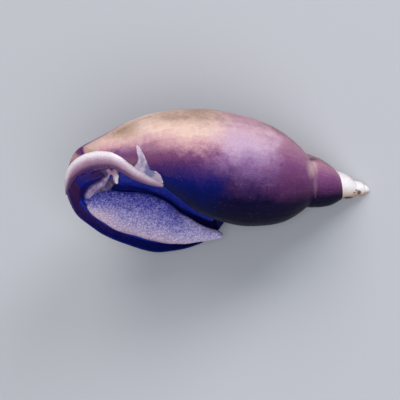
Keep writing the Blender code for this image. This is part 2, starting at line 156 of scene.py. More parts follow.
# The head's ridge from the foot's front end to the columella: out, height, half width, level.
HEAD = (
    (0.00790, 0.04600, 0.00025, -0.0002),
    (0.00720, 0.04590, 0.00038, 0.0000),
    (0.00640, 0.04575, 0.00045, 0.0002),
    (0.00560, 0.04545, 0.00050, 0.0002),
    (0.00500, 0.04500, 0.00048, 0.0002),
    (0.00455, 0.04440, 0.00045, 0.0001),
    (0.00410, 0.04385, 0.00042, 0.0000),
    (0.00350, 0.04345, 0.00042, -0.0003),
    (0.00280, 0.04330, 0.00050, -0.0006),
    (0.00210, 0.04325, 0.00085, -0.0010),
    (0.00140, 0.04320, 0.00120, -0.0013),
)
HEAD_DEPTH = 0.0075
# The head's skin has the finer mesh: above this height, inside this distance out and this deep.
HEAD_ROOM = (0.0415, 0.0068, -0.0024)
# The mouth's slit: middle, slant, half length, width and depth, and how its lips rise beside it.
MOUTH = (0.0053, 0.0003, 0.04522)
MOUTH_SLANT = math.radians(40.0)
MOUTH_REACH, MOUTH_WIDTH, MOUTH_DEPTH = 0.00055, 0.00010, 0.00038
MOUTH_LIP, MOUTH_RISE = 0.00024, 0.00010
# The tentacles, from root to tip: out, height, level, half width.
TENTACLE_LEFT = (
    (0.00190, 0.04280, -0.0012, 0.00060),
    (0.00230, 0.04225, -0.0009, 0.00052),
    (0.00280, 0.04180, -0.0006, 0.00044),
    (0.00340, 0.04160, -0.0005, 0.00040),
    (0.00390, 0.04150, -0.0006, 0.00020),
)
TENTACLE_RIGHT = (
    (0.00260, 0.04380, -0.0018, 0.00050),
    (0.00300, 0.04440, -0.0018, 0.00050),
    (0.00340, 0.04480, -0.0019, 0.00045),
    (0.00380, 0.04520, -0.0021, 0.00032),
    (0.00430, 0.04560, -0.0023, 0.00020),
)
TENTACLE_THICK = 0.0006
EYES = (Vector((0.0018, -0.0013, 0.0427)), Vector((0.0018, -0.0013, 0.0437)))
# Flesh that fills the aperture round the foot: out, height, half width and level of its top.
COLLAR = (
    (0.0088, 0.0243, 0.0009, -0.0007),
    (0.0078, 0.0265, 0.0015, -0.0009),
    (0.0066, 0.0290, 0.0019, -0.0011),
    (0.0052, 0.0315, 0.0021, -0.0012),
    (0.0041, 0.0340, 0.0022, -0.0012),
    (0.0034, 0.0365, 0.0022, -0.0012),
    (0.0031, 0.0390, 0.0022, -0.0011),
    (0.0033, 0.0410, 0.0020, -0.0011),
    (0.0040, 0.0424, 0.0013, -0.0012),
)
SKIRT = (
    (0.0126, 0.0275, 0.0009, -0.0012),
    (0.0138, 0.0300, 0.0014, -0.0014),
    (0.0140, 0.0335, 0.0016, -0.0016),
    (0.0135, 0.0370, 0.0016, -0.0016),
    (0.0127, 0.0400, 0.0015, -0.0016),
    (0.0114, 0.0430, 0.0014, -0.0016),
    (0.0098, 0.0452, 0.0012, -0.0016),
    (0.0085, 0.0465, 0.0008, -0.0018),
)
CHEEK = (
    (0.0068, 0.0450, 0.0006, 0.0000),
    (0.0060, 0.0445, 0.0010, 0.0000),
    (0.0053, 0.0437, 0.0012, -0.0001),
    (0.0047, 0.0429, 0.0012, -0.0002),
    (0.0043, 0.0422, 0.0009, -0.0005),
    (0.0040, 0.0417, 0.0005, -0.0009),
)
ROPE_DEPTH = 0.0018
# Turns between which the tube's room holds the flesh and the mantle fills it, and their rings.
ROOM = (-0.2, 0.09, 48)
MANTLE = (-0.234, -MANTLE_FACE, 24)
# How far flesh sinks into the shell's wall, so that no gap shows, and the reach of an eye's pit.
SINK = 0.0001
EYE_PIT = 0.00032
# How much wider than its taper the worn tip is, and the radius of its rounding.
BLUNTING = 0.6
WEAR = 0.0105 * SHELL
# The swollen end of the left feeler.
KNOB = Vector((0.0034, -0.0004, 0.0416))
KNOB_RADIUS = 0.00048

# How the animal rests on the floor.
SPIN = math.radians(-140.0)
TILT = math.radians(-63.2)
SEAT = Vector((0.0234093, -0.0003807, -0.0004457))
TURN = Matrix.Rotation(TILT, 3, "Y") @ Matrix.Rotation(SPIN, 3, "Z")
AT_REST = Matrix.Translation(SEAT) @ TURN.to_4x4()

# The photograph's view: right, up and toward the viewer in the shell's own frame, the size of a
# pixel, and the pixel of the apex.
VIEW_RIGHT = Vector((-0.2145, 0.17655, -0.96063))
VIEW_UP = Vector((-0.8616, -0.49744, 0.10097))
VIEW_BACK = VIEW_RIGHT.cross(VIEW_UP).normalized()
PIXEL = 0.050 / 315.6
APEX_PIXEL = (374.5, 190.5)
PICTURE = 400
AIM_PIXEL = (200.0, 200.0)
AIM_DEPTH = 50.0
DISTANCE = 0.8
SENSOR = 36.0
LENS = SENSOR * DISTANCE / (PICTURE * PIXEL)

LIGHT_DISTANCE = 0.5
SKY = (0.80, 0.86, 1.0, 1.0)
# Soft lights: where they come from, their size and colour, and whether the shell mirrors them.
LIGHTS = {
    "glow": ((0.52, 0.69, 0.50), 0.26, (0.93, 0.93, 1.0), True),
    "warm": ((-0.28, 0.62, 0.73), 0.30, (1.0, 0.94, 0.86), False),
    "front": ((0.15, -0.55, 0.82), 0.40, (0.96, 0.96, 1.0), False),
}


def monotone(table, x, column=1):
    """Smooth value of one column of a table, without overshoot between its rows."""
    xs = [row[0] for row in table]
    ys = [row[column] for row in table]
    steps = [b - a for a, b in zip(xs, xs[1:])]
    slopes = [(b - a) / h for a, b, h in zip(ys, ys[1:], steps)]
    tangents = [slopes[0]]
    for i in range(1, len(slopes)):
        before, after = slopes[i - 1], slopes[i]
        if before * after <= 0:
            tangents.append(0.0)
            continue
        w1 = 2 * steps[i] + steps[i - 1]
        w2 = steps[i] + 2 * steps[i - 1]
        tangents.append((w1 + w2) / (w1 / before + w2 / after))
    tangents.append(slopes[-1])
    i = min(max(sum(1 for v in xs if v <= x) - 1, 0), len(steps) - 1)
    h = steps[i]
    s = (x - xs[i]) / h
    rise = ys[i] * (1 + 2 * s) * (1 - s) ** 2 + ys[i + 1] * s * s * (3 - 2 * s)
    return rise + h * (tangents[i] * s * (1 - s) ** 2 + tangents[i + 1] * s * s * (s - 1))


def smooth(value, low, high):
    """0 at low, 1 at high, and eased between."""
    share = min(max((value - low) / (high - low), 0.0), 1.0)
    return share * share * (3 - 2 * share)


def growth(t):
    """Suture height, base height and greatest radius of the tube t turns from the lip."""
    first = GROWTH[0]
    if t < first[0]:
        gain = EARLY_GAIN ** (t - first[0])
        return tuple(value * gain for value in first[1:])
    logs = [(row[0],) + tuple(math.log(v) for v in row[1:]) for row in GROWTH]
    return tuple(math.exp(monotone(logs, t, i)) for i in (1, 2, 3))


def outer(t, v, size=None):
    """Radius and height of the shell's outside at share v down its whorl."""
    suture, base, radius = size or growth(t)
    flare = smooth(1 + t / LIP_FLARE, 0.0, 1.0)
    share = monotone(PROFILE, v) * (1 - flare) + monotone(LIP_PROFILE, v) * flare
    return radius * share, suture + v * (base - suture)


def base_dip(t):
    """Fall from the base's edge to the axis."""
    return BASE_DIP[0] + (BASE_DIP[1] - BASE_DIP[0]) * smooth(t, -DIP_WAY, 0.0)


def place(t, radius, height):
    """Point at a turn, radius and height, the last two in shares of the shell."""
    angle = 2 * math.pi * t
    return Vector((radius * math.cos(angle), radius * math.sin(angle), height)) * SHELL


def ring_at(t, row):
    """Points of a row of radius and height at a turn."""
    return [place(t, radius, height) for radius, height in row]


def seen(x, y, depth):
    """Point behind a pixel of the photograph, at a depth in pixels toward the viewer."""
    across = VIEW_RIGHT * (x - APEX_PIXEL[0])
    return (across + VIEW_UP * (APEX_PIXEL[1] - y) + VIEW_BACK * depth) * PIXEL


def fine_rows(table, steps):
    """Rows of a table with smooth ones between, so many from each to the next."""
    numbered = [(i,) + tuple(row) for i, row in enumerate(table)]
    places = [i / steps for i in range(steps * (len(table) - 1) + 1)]
    return [tuple(monotone(numbered, s, c) for c in range(1, len(numbered[0]))) for s in places]


# Rings that grow into the pieces

def new_body():
    """Empty mesh whose points remember their column, turn and place down the whorl."""
    bm = bmesh.new()
    bm.verts.layers.int.new("column")
    for name in ("turn", "down"):
        bm.verts.layers.float.new(name)
    return bm


def lay(bm, vertices, points, turn, downs):
    """Move a ring's vertices to its points and note where on the whorl they are."""
    column = bm.verts.layers.int["column"]
    turns = bm.verts.layers.float["turn"]
    down = bm.verts.layers.float["down"]
    for vertex in vertices:
        i = vertex[column]
        vertex.co = points[i]
        vertex[turns] = turn
        vertex[down] = downs[i] if downs else i / len(points)


def first_ring(bm, points, turn=0.0, downs=None):
    """Lay a closed ring through points and give back its edges."""
    made = bmesh.ops.create_circle(bm, cap_ends=False, segments=len(points), radius=1.0)["verts"]
    column = bm.verts.layers.int["column"]
    for i, vertex in enumerate(made):
        vertex[column] = i
    lay(bm, made, points, turn, downs)
    return list({edge for vertex in made for edge in vertex.link_edges})


def next_ring(bm, edges, points, turn=0.0, downs=None):
    """Extrude the last ring and lay the new one through its own points."""
    made = bmesh.ops.extrude_edge_only(bm, edges=edges)["geom"]
    vertices = [item for item in made if isinstance(item, bmesh.types.BMVert)]
    lay(bm, vertices, points, turn, downs)
    return [item for item in made if isinstance(item, bmesh.types.BMEdge)]


def grow(bm, rings):
    """Closed body through rings of points; its turn runs from 0 to 1 along it."""
    edges = first_ring(bm, rings[0])
    bmesh.ops.edgeloop_fill(bm, edges=edges)
    for i, ring in enumerate(rings[1:], 1):
        edges = next_ring(bm, edges, ring, i / (len(rings) - 1))
    bmesh.ops.edgeloop_fill(bm, edges=edges)


def round_loop(points, count):
    """Smooth closed line of count points through the corners of a section."""
    made = []
    size = len(points)
    for k in range(count):
        x = k * size / count
        i = int(x)
        s = x - i
        a, b, c, d = (points[(i + n) % size] for n in (-1, 0, 1, 2))
        made.append(tuple(
            0.5 * (2 * q + (r - p) * s + (2 * p - 5 * q + 4 * r - u) * s * s
                   + (3 * q - p - 3 * r + u) * s ** 3)
            for p, q, r, u in zip(a, b, c, d)
        ))
    return made


def mesh_of(name, bm):
    """Turn a finished body into an object, its normals outward."""
    bmesh.ops.recalc_face_normals(bm, faces=bm.faces)
    mesh = bpy.data.meshes.new(name)
    bm.to_mesh(mesh)
    bm.free()
    thing = bpy.data.objects.new(name, mesh)
    bpy.context.scene.collection.objects.link(thing)
    return thing


def finished(thing, material, slot, *nodes):
    """Lay a piece down to rest, on the floor and not in it, and give it its finish."""
    mesh = thing.data
    mesh.transform(AT_REST)
    for vertex in mesh.vertices:
        vertex.co.z = max(vertex.co.z, 0.0)
    mesh.shade_smooth()
    mesh.materials.clear()
    for one in material if isinstance(material, (list, tuple)) else [material]:
        mesh.materials.append(one)
    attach(thing, "root")
    if nodes:
        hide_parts(*nodes)
    return thing


def applied(thing):
    """Apply a thing's modifiers to its mesh."""
    graph = bpy.context.evaluated_depsgraph_get()
    mesh = bpy.data.meshes.new_from_object(thing.evaluated_get(graph))
    thing.modifiers.clear()
    thing.data = mesh
    return thing


def cut(thing, tool, operation):
    """Apply one Boolean and drop the tool."""
    modifier = thing.modifiers.new("cut", "BOOLEAN")
    modifier.operation = operation
    modifier.object = tool
    modifier.solver = "EXACT"
    applied(thing)
    bpy.data.objects.remove(tool, do_unlink=True)


# Finishes

COAT_ROUGHNESS = 0.12


class Finish:
    """A material and short ways to add the nodes that this snail's finishes need."""

    def __init__(self, name, roughness, coat=0.0, specular=0.5):
        self.material = bpy.data.materials.new(name)
        self.material.use_nodes = True
        self.tree = self.material.node_tree
        self.shader = self.tree.nodes["Principled BSDF"]
        for name, value in (("Roughness", roughness), ("Coat Weight", coat),
                            ("Coat Roughness", COAT_ROUGHNESS), ("Specular IOR Level", specular)):
            self.shader.inputs[name].default_value = value
        self.here = self.add("TexCoord").outputs["Object"]

    def add(self, kind, inputs=None, **settings):
        """A node, its settings made and then its inputs set or linked by name or place."""
        made = self.tree.nodes.new("ShaderNode" + kind)
        for name, value in settings.items():
            setattr(made, name, value)
        for name, value in (inputs or {}).items():
            self.put(made.inputs[name], value)
        return made

    def put(self, socket, value):
        """Link a socket to a socket, or set it to a value."""
        if isinstance(value, bpy.types.NodeSocket):
            self.tree.links.new(value, socket)
        else:
            socket.default_value = value

    def attribute(self, name):
        return self.add("Attribute", attribute_name=name).outputs["Fac"]

    def in_frame(self, origin, turn, unit):
        """Object coordinates in another frame, in its own unit."""
        inputs = {"Vector": self.here, "Location": origin, "Rotation": turn.to_euler("XYZ"),
                  "Scale": (unit, unit, unit)}
        return self.add("Mapping", inputs, vector_type="TEXTURE").outputs["Vector"]

    def own(self):
        """Millimetres in the shell's own frame."""
        return self.in_frame(SEAT, TURN, 0.001)

    def pixels(self):
        """Pixels of the photograph's frame: X to the right, minus Y and toward the viewer."""
        right, up = TURN @ VIEW_RIGHT, TURN @ VIEW_UP
        turn = Matrix((right, up, right.cross(up))).transposed()
        corner = SEAT + (up * APEX_PIXEL[1] - right * APEX_PIXEL[0]) * PIXEL
        return self.in_frame(corner, turn, PIXEL)

    def along(self, vector, direction):
        """How far a vector reaches along a direction."""
        made = self.add("VectorMath", {0: vector, 1: direction}, operation="DOT_PRODUCT")
        return made.outputs["Value"]

    def unit(self, vector):
        return self.add("VectorMath", {0: vector}, operation="NORMALIZE").outputs["Vector"]

    def split(self, vector):
        return self.add("SeparateXYZ", {0: vector}).outputs

    def join(self, x, y):
        return self.add("CombineXYZ", {0: x, 1: y}).outputs[0]

    def maths(self, operation, *values, clamp=False):
        inputs = dict(enumerate(values))
        return self.add("Math", inputs, operation=operation, use_clamp=clamp).outputs[0]

    def noise(self, vector, scale, detail=2.0, roughness=0.5):
        inputs = {"Vector": vector, "Scale": scale, "Detail": detail, "Roughness": roughness}
        return self.add("TexNoise", inputs).outputs["Fac"]

    def bands(self, rate, across, detail, roughness=0.5):
        """Noise drawn out along the growth lines: so many bands in a turn, waving across them."""
        turn = self.maths("MULTIPLY", self.attribute("turn"), rate)
        down = self.maths("MULTIPLY", self.attribute("down"), across)
        return self.noise(self.join(turn, down), 1.0, detail, roughness)

    def cells(self, vector, scale):
        """Distance to the nearest of points that are strewn through a frame."""
        made = self.add("TexVoronoi", {"Vector": vector, "Scale": scale}, feature="F1")
        return made.outputs["Distance"]

    def spread(self, value, reach):
        """A noise turned into a shift round 0."""
        return self.maths("MULTIPLY", self.maths("SUBTRACT", value, 0.5), reach)

    def shifted(self, value, grain, reach):
        """A value that a noise shifts up and down."""
        return self.maths("ADD", value, self.spread(grain, reach))

    def eased(self, value, low, high):
        """0 at low, 1 at high, smooth between; low may be above high."""
        ends = {"From Min": low, "From Max": high, "To Min": 0.0, "To Max": 1.0}
        if low > high:
            ends = {"From Min": high, "From Max": low, "To Min": 1.0, "To Max": 0.0}
        made = self.add("MapRange", {"Value": value, **ends}, interpolation_type="SMOOTHSTEP")
        return made.outputs["Result"]

    def all_of(self, *masks):
        made = masks[0]
        for mask in masks[1:]:
            made = self.maths("MULTIPLY", made, mask)
        return made

    def spot(self, vector, centre, size, warp, edge=1.15, core=0.65):
        """1 in a soft ellipsoid round a point of a frame, 0 outside it."""
        inputs = {"Vector": vector, "Location": centre, "Scale": size}
        inside = self.add("Mapping", inputs, vector_type="TEXTURE").outputs["Vector"]
        away = self.add("VectorMath", {0: inside}, operation="LENGTH").outputs["Value"]
        return self.eased(self.maths("ADD", away, warp), edge, core)

    def over(self, below, mask, strength, above):
        """A colour laid over another one where a mask lets it."""
        return self.mix(self.maths("MULTIPLY", mask, strength), below, above)

    def marked(self, colour, vector, marks, grain, fray, *edges):
        """Marks laid over a colour, their outlines frayed by a noise."""
        for centre, size, strength, colour_of in marks:
            mark = self.spot(vector, centre, size, self.spread(grain, fray), *edges)
            colour = self.over(colour, mark, strength, tone(*colour_of))
        return colour

    def mix(self, factor, a, b, how="MIX"):
        inputs = {0: factor, 6: a, 7: b}
        return self.add("Mix", inputs, data_type="RGBA", blend_type=how).outputs[2]

    def ramp(self, factor, *stops):
        made = self.add("ValToRGB", {"Fac": factor})
        line = made.color_ramp
        while len(line.elements) < len(stops):
            line.elements.new(1.0)
        for element, (position, colour) in zip(line.elements, stops):
            element.position = position
            element.color = colour
        return made.outputs["Color"]

    def bump(self, height, distance, strength=1.0, below=None):
        inputs = {"Strength": strength, "Distance": distance, "Height": height}
        if below is not None:
            inputs["Normal"] = below
        return self.add("Bump", inputs).outputs["Normal"]

    def tones(self, factor, *stops):
        """Ramp through colours given in the steps of a screen."""
        return self.ramp(factor, *((place_of, tone(*colour)) for place_of, colour in stops))

    def done(self, colour, normal=None, roughness=None):
        """The material, with its colour, relief and gloss in place."""
        for name, value in (("Base Color", colour), ("Normal", normal), ("Roughness", roughness)):
            if value is not None:
                self.put(self.shader.inputs[name], value)
        return self.material


def tone(red, green, blue):
    """Linear colour from one in the 0 to 255 steps of a screen."""
    def linear(value):
        share = value / 255
        return share / 12.92 if share <= 0.04045 else ((share + 0.055) / 1.055) ** 2.4
    return (linear(red), linear(green), linear(blue), 1.0)


# Tones of the shell from its dark lower side, -1, to its pale upper one, 1, by the part of it:
# painted shade below, painted light above, a painted reflection of blue sky in the blue part and a
# painted highlight in the lilac part.
LIT_AND_SHADED_BLUE_TONES = (
    (-1.0, (6, 8, 34)), (-0.5, (14, 24, 92)), (-0.22, (24, 32, 116)), (0.12, (92, 58, 112)),
    (0.28, (130, 82, 124)), (0.48, (202, 162, 168)), (0.72, (230, 206, 190)),
    (1.0, (168, 144, 126)),
)
LIT_AND_SHADED_LILAC_TONES = (
    (-1.0, (6, 8, 32)), (-0.5, (22, 18, 56)), (-0.2, (74, 48, 98)), (0.15, (144, 110, 156)),
    (0.5, (200, 176, 198)), (0.75, (208, 180, 192)), (1.0, (174, 138, 148)),
)
LIT_AND_SHADED_PLUM_TONES = (
    (-1.0, (8, 9, 32)), (-0.55, (28, 20, 52)), (-0.12, (104, 60, 104)), (0.35, (138, 88, 132)),
    (0.75, (172, 130, 150)), (1.0, (142, 114, 118)),
)
# Way to the shell's lit upper side: the tones paint light toward it and shade away from it.
LIT_UPPER_SIDE = (-0.8660, -0.5, 0.0)
VIEWED_SIDE = (-0.47627, 0.8793, 0.0)
WORN_TURNS = (-1.98, -2.12)
# Marks in the photograph's frame: middle, reach, strength and tone.
SHELL_MARKS = (
    ((312.0, -168.0, 44.0), (5.5, 9.0, 18.0), 0.62, (226, 192, 184)),
    ((315.5, -184.0, 44.0), (2.0, 11.0, 18.0), 0.35, (190, 150, 172)),
    ((312.5, -159.2, 34.0), (5.0, 1.9, 16.0), 0.75, (44, 28, 58)),
    ((268.0, -185.0, 66.0), (6.0, 1.6, 14.0), 0.45, (196, 160, 180)),
    ((281.0, -165.0, 66.0), (2.0, 1.8, 14.0), 0.70, (60, 36, 74)),
    ((141.0, -138.0, 70.0), (2.2, 16.0, 30.0), 0.40, (214, 192, 196)),
    ((148.0, -135.0, 70.0), (1.6, 13.0, 30.0), 0.35, (206, 182, 190)),
    ((133.0, -162.0, 70.0), (4.0, 3.5, 30.0), 0.60, (150, 112, 112)),
    ((125.0, -152.0, 70.0), (9.0, 7.0, 30.0), 0.45, (140, 104, 152)),
)
APEX_MARKS = (
    ((360.4, -192.3, 12.0), (2.2, 2.3, 22.0), 0.85, (84, 62, 50)),
    ((357.8, -190.2, 12.0), (1.3, 1.0, 22.0), 0.80, (112, 84, 66)),
    ((355.6, -192.6, 12.0), (1.5, 0.8, 22.0), 0.80, (110, 80, 72)),
    ((349.5, -197.6, 10.0), (5.6, 1.4, 22.0), 0.85, (58, 36, 70)),
)
FLAP_MARKS = (
    ((150.0, -170.5, 80.0), (6.0, 9.5, 24.0), 0.85, (112, 112, 164)),
    ((142.5, -158.0, 80.0), (2.2, 7.0, 24.0), 0.55, (150, 142, 182)),
    ((159.0, -184.5, 80.0), (5.0, 2.6, 24.0), 0.80, (146, 104, 100)),
    ((158.5, -176.5, 80.0), (2.6, 5.0, 24.0), 0.70, (206, 172, 190)),
)
HEAD_MARKS = (
    ((111.2, -169.0, 74.0), (2.0, 1.8, 16.0), 0.8, (96, 66, 62)),
    ((113.0, -185.0, 78.0), (2.2, 2.4, 16.0), 0.8, (98, 74, 74)),
    ((102.0, -176.0, 74.0), (2.4, 5.0, 14.0), 0.7, (58, 34, 84)),
)


def lit_and_shaded_by_side(f, side, tones):
    """Ramp through tones of painted light and shade that are placed from -1 to 1."""
    share = f.maths("MULTIPLY_ADD", side, 0.5, 0.5, clamp=True)
    return f.tones(share, *((0.5 * place_of + 0.5, colour) for place_of, colour in tones))


def shell_outside():
    """Mottled purple shell: painted light makes it pale on its upper side, painted shade makes it
    almost black below, and it is worn white at the tip.
    """
    f = Finish("shell_outside", 0.34, specular=0.04)
    turn = f.attribute("turn")
    own, pixels = f.own(), f.pixels()
    across, minus_y = f.split(pixels)[:2]
    x, y, z = f.split(own)
    cloud = f.noise(own, 0.35, 4.0, 0.6)
    mottle = f.noise(own, 1.5, 5.0, 0.7)
    grain = f.noise(own, 7.0, 4.0, 0.75)
    lines = f.bands(70.0, 3.0, 3.0)
    fine = f.bands(300.0, 5.0, 2.0)
    streaks = f.bands(26.0, 7.0, 4.0, 0.7)

    outward = f.unit(f.join(x, y))
    facing = f.along(outward, VIEWED_SIDE)
    behind, ahead = f.eased(facing, -0.1, -0.7), f.eased(facing, -0.35, 0.05)
    # The side that the painted light and shade follow, with less of it on the part turned away from
    # the viewer.
    side = f.along(outward, LIT_UPPER_SIDE)
    side = f.maths("MULTIPLY", side, f.maths("MULTIPLY_ADD", behind, -0.5, 1.0))
    side = f.shifted(side, cloud, 0.30)
    side = f.shifted(side, mottle, 0.26)
    side = f.shifted(side, grain, 0.12)
    side = f.shifted(side, streaks, 0.22)
    # Toward the left the painted light and shade are flattened: the lower side lighter, the upper
    # side darker.
    left = f.maths("MINIMUM", f.maths("MULTIPLY", f.maths("SUBTRACT", across, 185.0), 0.0045), 0.0)
    left = f.maths("MULTIPLY", left, f.maths("MULTIPLY_ADD", f.eased(side, 0.0, 0.6), 1.9, -0.9))
    ragged = f.shifted(across, cloud, 60.0)
    # Blue part at the left with painted shade and a painted reflection of blue sky, lilac part with
    # a painted highlight, plum part at the right.
    colour = f.mix(f.eased(ragged, 200.0, 238.0), lit_and_shaded_by_side(f, f.maths("ADD", side, left), LIT_AND_SHADED_BLUE_TONES),
                   lit_and_shaded_by_side(f, side, LIT_AND_SHADED_LILAC_TONES))
    colour = f.mix(f.eased(ragged, 258.0, 290.0), colour, lit_and_shaded_by_side(f, side, LIT_AND_SHADED_PLUM_TONES))
    tan = f.all_of(f.eased(across, 150.0, 120.0), f.eased(minus_y, -144.0, -130.0), ahead)
    colour = f.over(colour, tan, 0.7, f.tones(
        mottle, (0.3, (92, 78, 52)), (0.55, (134, 112, 78)), (0.75, (186, 156, 124))))
    colour = f.mix(0.14, colour, f.tones(lines, (0.3, (40, 20, 50)), (0.7, (235, 215, 222))),
                   "SOFT_LIGHT")
    colour = f.mix(0.5, colour, f.tones(grain, (0.32, (62, 40, 66)), (0.68, (228, 212, 222))),
                   "SOFT_LIGHT")

    corner = f.all_of(f.eased(across, 104.0, 93.0), f.eased(minus_y, -166.0, -157.0), ahead)
    colour = f.over(colour, corner, 0.8, tone(190, 166, 152))
    dots = f.all_of(f.eased(f.cells(own, 1.9), 0.13, 0.05), f.eased(cloud, 0.46, 0.58))
    colour = f.over(colour, dots, 0.22, tone(232, 214, 226))
    colour = f.marked(colour, pixels, SHELL_MARKS, mottle, 1.2, 1.6, 0.1)

    lip = f.all_of(f.eased(turn, -0.012, -0.003), f.eased(minus_y, -215.0, -195.0))
    colour = f.over(colour, lip, 0.5, tone(118, 98, 124))

    worn = f.eased(turn, WORN_TURNS[0], WORN_TURNS[1])
    frayed = f.maths("ADD", z, f.maths("MULTIPLY", side, -0.45))
    frayed = f.shifted(frayed, mottle, 2.2)
    worn = f.maths("MAXIMUM", worn, f.eased(frayed, 5.35, 4.95))
    # Worn chalk with painted shade that darkens it toward the shell's lower side.
    worn_chalk_and_shade = f.tones(
        lit_side_of(f, own), (0.12, (196, 168, 150)), (0.32, (240, 226, 214)),
        (0.55, (255, 252, 252)), (0.82, (250, 244, 242)), (0.97, (226, 216, 222)),
    )
    worn_chalk_and_shade = f.mix(0.2, worn_chalk_and_shade, f.tones(mottle, (0.3, (170, 150, 150)), (0.6, (255, 255, 255))),
                  "MULTIPLY")
    colour = f.mix(worn, colour, worn_chalk_and_shade)
    colour = f.marked(colour, pixels, APEX_MARKS, grain, 1.2)

    height = f.maths("ADD", f.maths("MULTIPLY", lines, 0.7), f.maths("MULTIPLY", fine, 0.3))
    normal = f.bump(height, 0.00004, 0.6)
    normal = f.bump(mottle, 0.00006, 0.5, normal)
    normal = f.bump(grain, 0.00002, 0.6, normal)
    rough = f.maths("ADD", f.maths("MULTIPLY", worn, 0.2), f.maths("MULTIPLY", mottle, 0.35))
    rough = f.maths("ADD", rough, 0.18, clamp=True)
    return f.done(colour, normal, rough)


def lit_side_of(f, own):
    """0 on the shell's lower side, 1 on its upper one, for painted light and shade."""
    x, y = f.split(own)[:2]
    return f.maths("MULTIPLY_ADD", f.along(f.unit(f.join(x, y)), LIT_UPPER_SIDE), 0.5, 0.5)


def shell_inside():
    """Smooth inside of the aperture: mauve at the lip, deep blue further in as a painted reflection
    of blue sky, and painted shade toward the bottom.
    """
    f = Finish("shell_inside", 0.3, specular=0.25)
    turn, minus_y = f.attribute("turn"), f.split(f.pixels())[1]
    cloud = f.noise(f.own(), 0.5, 3.0, 0.6)
    # Deep blue further in: a painted reflection of blue sky.
    colour = f.tones(f.eased(f.maths("ADD", turn, f.maths("MULTIPLY", cloud, 0.02)), 0.0, -0.05),
                    (0.0, (44, 44, 120)), (0.3, (46, 54, 170)), (1.0, (44, 60, 190)))
    bowl = f.eased(minus_y, -186.0, -170.0)
    colour = f.over(colour, bowl, 0.85, f.tones(
        cloud, (0.3, (72, 48, 112)), (0.7, (108, 70, 122))))
    # Painted shade: dark navy toward the aperture's bottom.
    low = f.eased(minus_y, -206.0, -224.0)
    colour = f.over(colour, low, 0.8, tone(20, 22, 66))
    return f.done(colour, f.bump(f.bands(90.0, 3.0, 3.0), 0.00003, 0.4))


def white_glaze():
    """Glossy white callus with a painted highlight on its upper side and painted shade, pinkish,
    toward its lower side; violet where it thins out.
    """
    f = Finish("white_glaze", 0.26, coat=0.3, specular=0.4)
    along, round_light_and_shade = f.attribute("turn"), f.attribute("down")
    own = f.own()
    cloud = f.noise(own, 0.9, 3.0, 0.55)
    fleck = f.noise(own, 5.0, 3.0, 0.6)
    place_of = f.shifted(round_light_and_shade, cloud, 0.10)
    # Round the roll: a painted highlight in white on top, painted shade from pink to dark violet
    # underneath.
    colour = f.tones(
        place_of, (0.04, (96, 62, 92)), (0.12, (190, 168, 180)), (0.22, (238, 230, 234)),
        (0.34, (240, 232, 238)), (0.43, (224, 196, 212)), (0.53, (192, 148, 172)),
        (0.63, (154, 104, 138)), (0.74, (112, 68, 118)), (0.84, (82, 52, 112)),
    )
    colour = f.mix(0.2, colour, f.tones(fleck, (0.35, (120, 96, 120)), (0.6, (255, 255, 255))),
                   "MULTIPLY")
    thin = f.eased(along, 0.80, 1.0)
    colour = f.over(colour, thin, 0.6, tone(150, 122, 150))
    start = f.eased(along, 0.30, 0.06)
    colour = f.over(colour, start, 0.75, tone(104, 74, 116))
    return f.done(colour, f.bump(cloud, 0.00004, 0.3))


def callus_glaze():
    """Thin flap of glaze: white at the fold, blue-grey where the shell shows through."""
    f = Finish("callus_glaze", 0.28, coat=0.3, specular=0.4)
    cloud = f.noise(f.own(), 1.2, 4.0, 0.65)
    colour = f.tones(cloud, (0.3, (172, 148, 180)), (0.6, (216, 200, 218)))
    colour = f.marked(colour, f.pixels(), FLAP_MARKS, cloud, 1.0)
    return f.done(colour, f.bump(cloud, 0.00004, 0.4))


